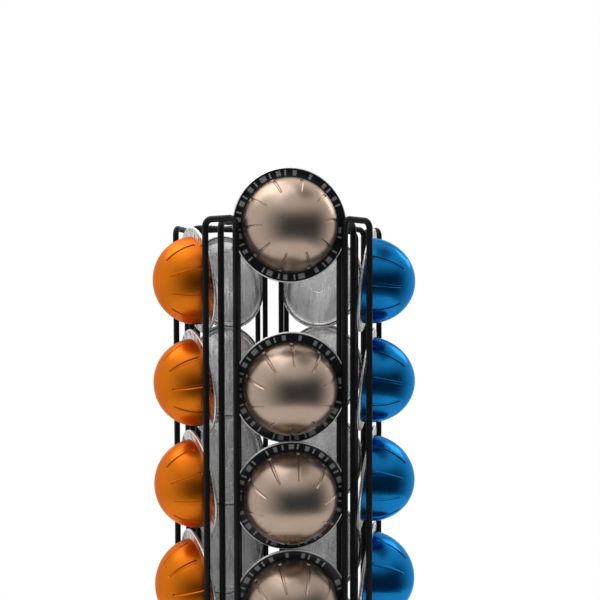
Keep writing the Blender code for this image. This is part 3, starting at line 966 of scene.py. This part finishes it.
# The ball bearing
BALL_CIRCLE = 52 * MM
BALL_RADIUS = 2.5 * MM
BALL_COUNT = 10
BALL_SIDES = 24
RACE_HALF_WIDTH = 6.5 * MM
RACE_THICKNESS = 2 * MM
GROOVE_HALF_WIDTH = 3 * MM
RACE_GROOVE_DEPTH = 1.2 * MM
RACE_GROOVE_STEPS = 4
RACE_CHAMFER = 0.3 * MM
CAGE_HALF_WIDTH = 3.2 * MM
CAGE_HALF_THICKNESS = 0.6 * MM
RACE_SIDES = 96


def race_outline(flat, towards_ball):
    """A ring with a groove for the balls. Its flat side is at a height, and its other side faces them."""
    face = flat + towards_ball * RACE_THICKNESS
    chamfer = towards_ball * RACE_CHAMFER
    inner, outer = BALL_CIRCLE - RACE_HALF_WIDTH, BALL_CIRCLE + RACE_HALF_WIDTH
    outline = [(inner, flat), (inner, face - chamfer), (inner + RACE_CHAMFER, face)]
    for step in range(-RACE_GROOVE_STEPS, RACE_GROOVE_STEPS + 1):
        share = step / RACE_GROOVE_STEPS
        depth = RACE_GROOVE_DEPTH * (1 - abs(share))
        outline.append((BALL_CIRCLE + share * GROOVE_HALF_WIDTH, face - towards_ball * depth))
    return [*outline, (outer - RACE_CHAMFER, face), (outer, face - chamfer), (outer, flat)]


def add_races():
    for node, body, towards_ball in (("lower_race", "base", 1), ("upper_race", "carousel", -1)):
        low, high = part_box(node)
        flat = low.z if towards_ball > 0 else high.z
        race = turned(node + "_ring", race_outline(flat, towards_ball), RACE_SIDES)
        dress(race, body, "bearing_steel")
        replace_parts(race, node)


def ball_height():
    low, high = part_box("ball_cage")
    return (low.z + high.z) / 2


def add_cage():
    inner, outer = BALL_CIRCLE - CAGE_HALF_WIDTH, BALL_CIRCLE + CAGE_HALF_WIDTH
    bottom, top = ball_height() - CAGE_HALF_THICKNESS, ball_height() + CAGE_HALF_THICKNESS
    outline = [(inner, bottom), (inner, top), (outer, top), (outer, bottom)]
    cage = turned("cage_ring", outline, RACE_SIDES)
    dress(cage, "bearing_cage", "nylon")
    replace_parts(cage, "ball_cage")


def add_balls():
    angles = [math.pi * step / (BALL_SIDES // 2) for step in range(1, BALL_SIDES // 2)]
    outline = [(BALL_RADIUS * math.sin(angle), -BALL_RADIUS * math.cos(angle)) for angle in angles]
    ball = turned("ball_master", [*outline, (0, BALL_RADIUS)], BALL_SIDES)
    for number in range(BALL_COUNT):
        angle = math.tau * number / BALL_COUNT
        middle = (BALL_CIRCLE * math.cos(angle), BALL_CIRCLE * math.sin(angle), ball_height())
        place = Matrix.Translation(middle)
        copy_piece(ball, f"bearing_ball_{number + 1}", place, "bearing_cage", "bearing_steel")
    bpy.data.objects.remove(ball)


# The spindle
HEX_CORNER_RADIUS = 7.5 * MM
HEAD_HEIGHT = 5.3 * MM
SPINDLE_RADIUS = 4 * MM
SPINDLE_SIDES = 48
PLAIN_SHANK = 3 * MM
THREAD_PITCH = 1.25 * MM
THREAD_DEPTH = 0.35 * MM
BOLT_POINT = 0.6 * MM
BUSH_CHAMFER = 0.4 * MM
BUSH_PLAY = 0.3 * MM
BUSH_LEAD = 0.3 * MM
WASHER_CHAMFER = 0.2 * MM

# How far the cone that turns down a hexagon's corners overreaches it, and how steeply it runs
CONE_MARGIN = 1 * MM
CONE_START = 0.1 * MM
CONE_STEEPNESS = 2.2


def hexagon(name, low, high, chamfer_low, chamfer_high):
    """A hexagon block whose corners are turned down at its ends."""
    deselect()
    bpy.ops.mesh.primitive_cylinder_add(
        vertices=6, radius=HEX_CORNER_RADIUS, depth=high - low, location=(0, 0, (low + high) / 2)
    )
    block = finish_mesh(name)
    across_flats = HEX_CORNER_RADIUS * math.cos(math.pi / 6)
    drop = (HEX_CORNER_RADIUS - across_flats) * math.tan(math.pi / 6) * CONE_STEEPNESS
    outside = HEX_CORNER_RADIUS + CONE_MARGIN
    outline = [
        (across_flats * 0.5, low),
        (across_flats if chamfer_low else outside, low),
        (outside, low + (drop if chamfer_low else CONE_START)),
        (outside, high - (drop if chamfer_high else CONE_START)),
        (across_flats if chamfer_high else outside, high),
        (0, high),
    ]
    cone = turned(name + "_cone", outline, SPINDLE_SIDES)
    combine(block, cone, "INTERSECT")
    return block


def combine(piece, other, operation):
    """Applies a Boolean to a piece, and removes the other shape."""
    change = piece.modifiers.new(operation.lower(), "BOOLEAN")
    change.operation = operation
    change.object = other
    pick_piece(piece)
    bpy.ops.object.modifier_apply(modifier=change.name)
    bpy.data.objects.remove(other)


def add_bolt():
    """The spindle's bolt: a hexagon head, a short plain shank and a thread of turned grooves."""
    bolt_low, bolt_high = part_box("spindle_bolt")
    head_top = bolt_low.z + HEAD_HEIGHT
    bolt = hexagon("spindle_bolt_steel", bolt_low.z, head_top, chamfer_low=True, chamfer_high=False)
    height = head_top + PLAIN_SHANK
    outline = [(SPINDLE_RADIUS, bolt_low.z + HEAD_HEIGHT / 2), (SPINDLE_RADIUS, height)]
    while height + THREAD_PITCH < bolt_high.z - BOLT_POINT:
        outline.append((SPINDLE_RADIUS - THREAD_DEPTH, height + THREAD_PITCH / 2))
        outline.append((SPINDLE_RADIUS, height + THREAD_PITCH))
        height += THREAD_PITCH
    outline += [(SPINDLE_RADIUS - BOLT_POINT, bolt_high.z), (0, bolt_high.z)]
    combine(bolt, turned("shank", outline, SPINDLE_SIDES), "UNION")
    dress(bolt, "base", "zinc_steel")
    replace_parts(bolt, "spindle_bolt")


def add_bush():
    low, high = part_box("spindle_bush")
    sleeve = PLATE_HOLE - BUSH_PLAY
    seat = high.z - SHEET
    outline = [
        (SPINDLE_HOLE, high.z),
        (high.x - BUSH_CHAMFER, high.z),
        (high.x, high.z - BUSH_CHAMFER),
        (high.x, seat),
        (sleeve, seat),
        (sleeve, low.z + BUSH_LEAD),
        (sleeve - BUSH_LEAD, low.z),
        (SPINDLE_HOLE, low.z),
    ]
    bush = turned("flanged_bush", outline, SPINDLE_SIDES)
    dress(bush, "carousel", "nylon")
    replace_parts(bush, "spindle_bush")


def add_washer():
    low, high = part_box("spindle_washer")
    outline = [
        (SPINDLE_HOLE, high.z),
        (high.x - WASHER_CHAMFER, high.z),
        (high.x, high.z - WASHER_CHAMFER),
        (high.x, low.z + WASHER_CHAMFER),
        (high.x - WASHER_CHAMFER, low.z),
        (SPINDLE_HOLE, low.z),
    ]
    washer = turned("flat_washer", outline, SPINDLE_SIDES)
    dress(washer, "base", "zinc_steel")
    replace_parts(washer, "spindle_washer")


# The domed nut, hollow with a little room over the bolt's end
NUT_HEIGHT = 6.5 * MM
NUT_DOME_RADIUS = 6 * MM
NUT_DOME_RINGS = 10
NUT_OVERLAP = 1 * MM
NUT_ROOM = 0.2 * MM


def add_nut():
    """The domed nut: a chamfered hexagon with a dome, hollow over the spindle's end."""
    low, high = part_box("domed_nut")
    shoulder = low.z + NUT_HEIGHT
    nut = hexagon("domed_nut_steel", low.z, shoulder, chamfer_low=True, chamfer_high=True)
    dome_height = high.z - shoulder
    outline = [(NUT_DOME_RADIUS, shoulder - NUT_OVERLAP)]
    for ring in range(NUT_DOME_RINGS):
        angle = math.pi / 2 * ring / NUT_DOME_RINGS
        outline.append((NUT_DOME_RADIUS * math.cos(angle), shoulder + dome_height * math.sin(angle)))
    combine(nut, turned("nut_dome", [*outline, (0, high.z)], SPINDLE_SIDES), "UNION")
    bore_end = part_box("spindle_bolt")[1].z + NUT_ROOM
    outline = [(SPINDLE_HOLE, low.z - NUT_OVERLAP), (SPINDLE_HOLE, bore_end), (0, bore_end)]
    combine(nut, turned("nut_bore", outline, SPINDLE_SIDES), "DIFFERENCE")
    pick_piece(nut)
    bpy.ops.object.shade_smooth_by_angle(angle=SMOOTH_ANGLE)
    dress(nut, "base", "zinc_steel")
    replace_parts(nut, "domed_nut")


def add_camera():
    lens = bpy.data.cameras.new("camera")
    lens.sensor_width = SENSOR_MM
    lens.lens = FOCAL_PIXELS / PHOTO_SIDE * SENSOR_MM
    lens.shift_y = (CENTRE_ROW_PIXEL - PHOTO_SIDE / 2) / PHOTO_SIDE
    camera = bpy.data.objects.new("camera", lens)
    bpy.context.scene.collection.objects.link(camera)
    turn = Euler((math.pi / 2 - CAMERA_PITCH_DOWN, 0, -CAMERA_HEADING)).to_matrix().to_4x4()
    camera.matrix_world = Matrix.Translation(CAMERA_PLACE) @ turn @ Matrix.Rotation(CAMERA_ROLL, 4, "Z")
    bpy.context.scene.camera = camera


# The studio's floor: its size, and how far from the tower it begins to turn white and is white
FLOOR_RADIUS = 0.6
FLOOR_NEAR = 0.26
FLOOR_FAR = 0.56
FLOOR_TONE = 0.82


def add_floor():
    """A pale floor that keeps the tower's shadow, and is plain white further out."""
    deselect()
    bpy.ops.mesh.primitive_circle_add(vertices=DISC_SIDES, radius=FLOOR_RADIUS, fill_type="NGON")
    floor = bpy.context.object
    floor.name = "floor"
    finish = Finish("pale_floor", Roughness=0.9, Specular_IOR_Level=0.0)
    finish.shader.inputs["Base Color"].default_value = (FLOOR_TONE, FLOOR_TONE, FLOOR_TONE, 1)
    distance = finish.node("VectorMath", {"operation": "LENGTH"}, {0: finish.place()}, "Value")
    seen = finish.node("LightPath", {}, {}, "Is Camera Ray")
    for kind in ("Is Glossy Ray", "Is Transmission Ray"):
        seen = seen.math("MAXIMUM", finish.node("LightPath", {}, {}, kind))
    share = distance.ramp(FLOOR_NEAR, FLOOR_FAR) * seen
    white = finish.node("Emission", {}, {"Color": (1, 1, 1, 1), "Strength": 1.0})
    shader = Field(finish, finish.shader.outputs[0])
    mixed = finish.node("MixShader", {}, {0: share, 1: shader, 2: white})
    output = finish.nodes["Material Output"]
    finish.links.new(mixed.socket, output.inputs["Surface"])
    floor.data.materials.append(finish.material)


class WorldFinish(Finish):
    """The world's nodes, made the same way as a material's."""

    def __init__(self):
        world = bpy.data.worlds.new("studio")
        world.use_nodes = True
        bpy.context.scene.world = world
        self.nodes = world.node_tree.nodes
        self.links = world.node_tree.links
        self.shader = self.nodes["Background"]


# The light that the room throws on the tower, and the tones that the metal sees in it
WORLD_STRENGTH = 0.9
ROOM_TONE = 0.9
GLOW_TONE = 1.35
SCREEN_TONE = 0.3
PATCH_TONE = 0.15
FLOORWARD_LOSS = 0.12
DARK_COLOUR = (0.03, 0.045, 0.06, 1)

# Where the room's dark front begins and is complete on each side, in degrees of azimuth and elevation
DARK_LEFT = (-92, -8)
DARK_RIGHT = (52, 125)
DARK_BELOW = (-68, -18)
DARK_ABOVE = (8, 50)

# Bands of the room, in degrees of azimuth from -Y towards +X and of elevation: low, high and softness
SCREEN_AROUND = (40, 112, 12)
SCREEN_UP = (52, 76, 6)
PATCH_AROUND = (-26, 12, 10)
PATCH_UP = (24, 40, 8)
GLOW_AROUND = (150, 335, 15)
GLOW_ABOVE = (36, 52)
FLOORWARD = (-40, 10)


def add_world():
    """White to the camera. To the metal it is a bright room that is dark in front. High up it glows
    behind and to the left and has a dim screen to the right, a faint light patch hangs over the dark
    front, and the room is a little dimmer towards the floor."""
    world = WorldFinish()
    side, depth, height = world.parts(world.node("TexCoord", {}, {}, "Generated"))
    azimuth = side.math("ARCTAN2", 0 - depth) * math.degrees(1)
    elevation = height.math("ARCSINE") * math.degrees(1)
    dark = azimuth.ramp(*DARK_LEFT) * (1 - azimuth.ramp(*DARK_RIGHT))
    dark = dark * elevation.ramp(*DARK_BELOW) * (1 - elevation.ramp(*DARK_ABOVE))
    screen = azimuth.band(*SCREEN_AROUND) * elevation.band(*SCREEN_UP)
    glow = azimuth.math("WRAP", 360, 0).band(*GLOW_AROUND) * elevation.ramp(*GLOW_ABOVE)
    patch = azimuth.band(*PATCH_AROUND) * elevation.band(*PATCH_UP)
    below = 1 - elevation.ramp(*FLOORWARD)
    room = ROOM_TONE - below * FLOORWARD_LOSS + glow * (GLOW_TONE - ROOM_TONE)
    room = room * (1 - screen) + screen * SCREEN_TONE + patch * PATCH_TONE
    mirrored = world.mix(dark, room, DARK_COLOUR)
    glossy_ray = world.node("LightPath", {}, {}, "Is Glossy Ray")
    seen = world.mix(glossy_ray, (WORLD_STRENGTH, WORLD_STRENGTH, WORLD_STRENGTH, 1), mirrored)
    camera_ray = world.node("LightPath", {}, {}, "Is Camera Ray")
    colour = world.mix(camera_ray, seen, (1, 1, 1, 1))
    world.links.new(colour.socket, world.shader.inputs["Color"])
    world.shader.inputs["Strength"].default_value = 1.0


# Where the lamps point to, in the middle of the tower
LAMP_TARGET = Vector((0, 0, 0.35))


def add_lamp(name, place, width, height, watts, mirrored=True):
    """A soft lamp. One that isn't mirrored lights the tower, but can't be seen in its metal."""
    light = bpy.data.lights.new(name, "AREA")
    light.shape = "RECTANGLE"
    light.size = width
    light.size_y = height
    light.energy = watts
    lamp = bpy.data.objects.new(name, light)
    lamp.location = place
    lamp.visible_glossy = mirrored
    lamp.rotation_euler = (LAMP_TARGET - lamp.location).to_track_quat("-Z", "Y").to_euler()
    bpy.context.scene.collection.objects.link(lamp)


def add_lamps():
    add_lamp("key_softbox", (-0.85, 0.75, 1.9), width=1.3, height=1.3, watts=7)
    add_lamp("fill_softbox", (1.4, 1.08, 1.35), width=0.7, height=0.8, watts=3.2)
    add_lamp("top_softbox", (-0.3, -0.1, 2.0), width=1.0, height=1.0, watts=3)
    add_lamp("front_softbox", (-0.5, -1.5, 1.1), width=1.0, height=1.0, watts=8, mirrored=False)


def main():
    make_finishes()
    add_camera()
    add_capsules()
    add_wires()
    add_foot_welds()
    add_crossing_welds()
    add_base()
    add_foot()
    add_plate()
    add_races()
    add_cage()
    add_balls()
    add_bolt()
    add_bush()
    add_washer()
    add_nut()
    add_floor()
    add_world()
    add_lamps()
    bpy.context.scene.view_settings.view_transform = "Standard"


main()
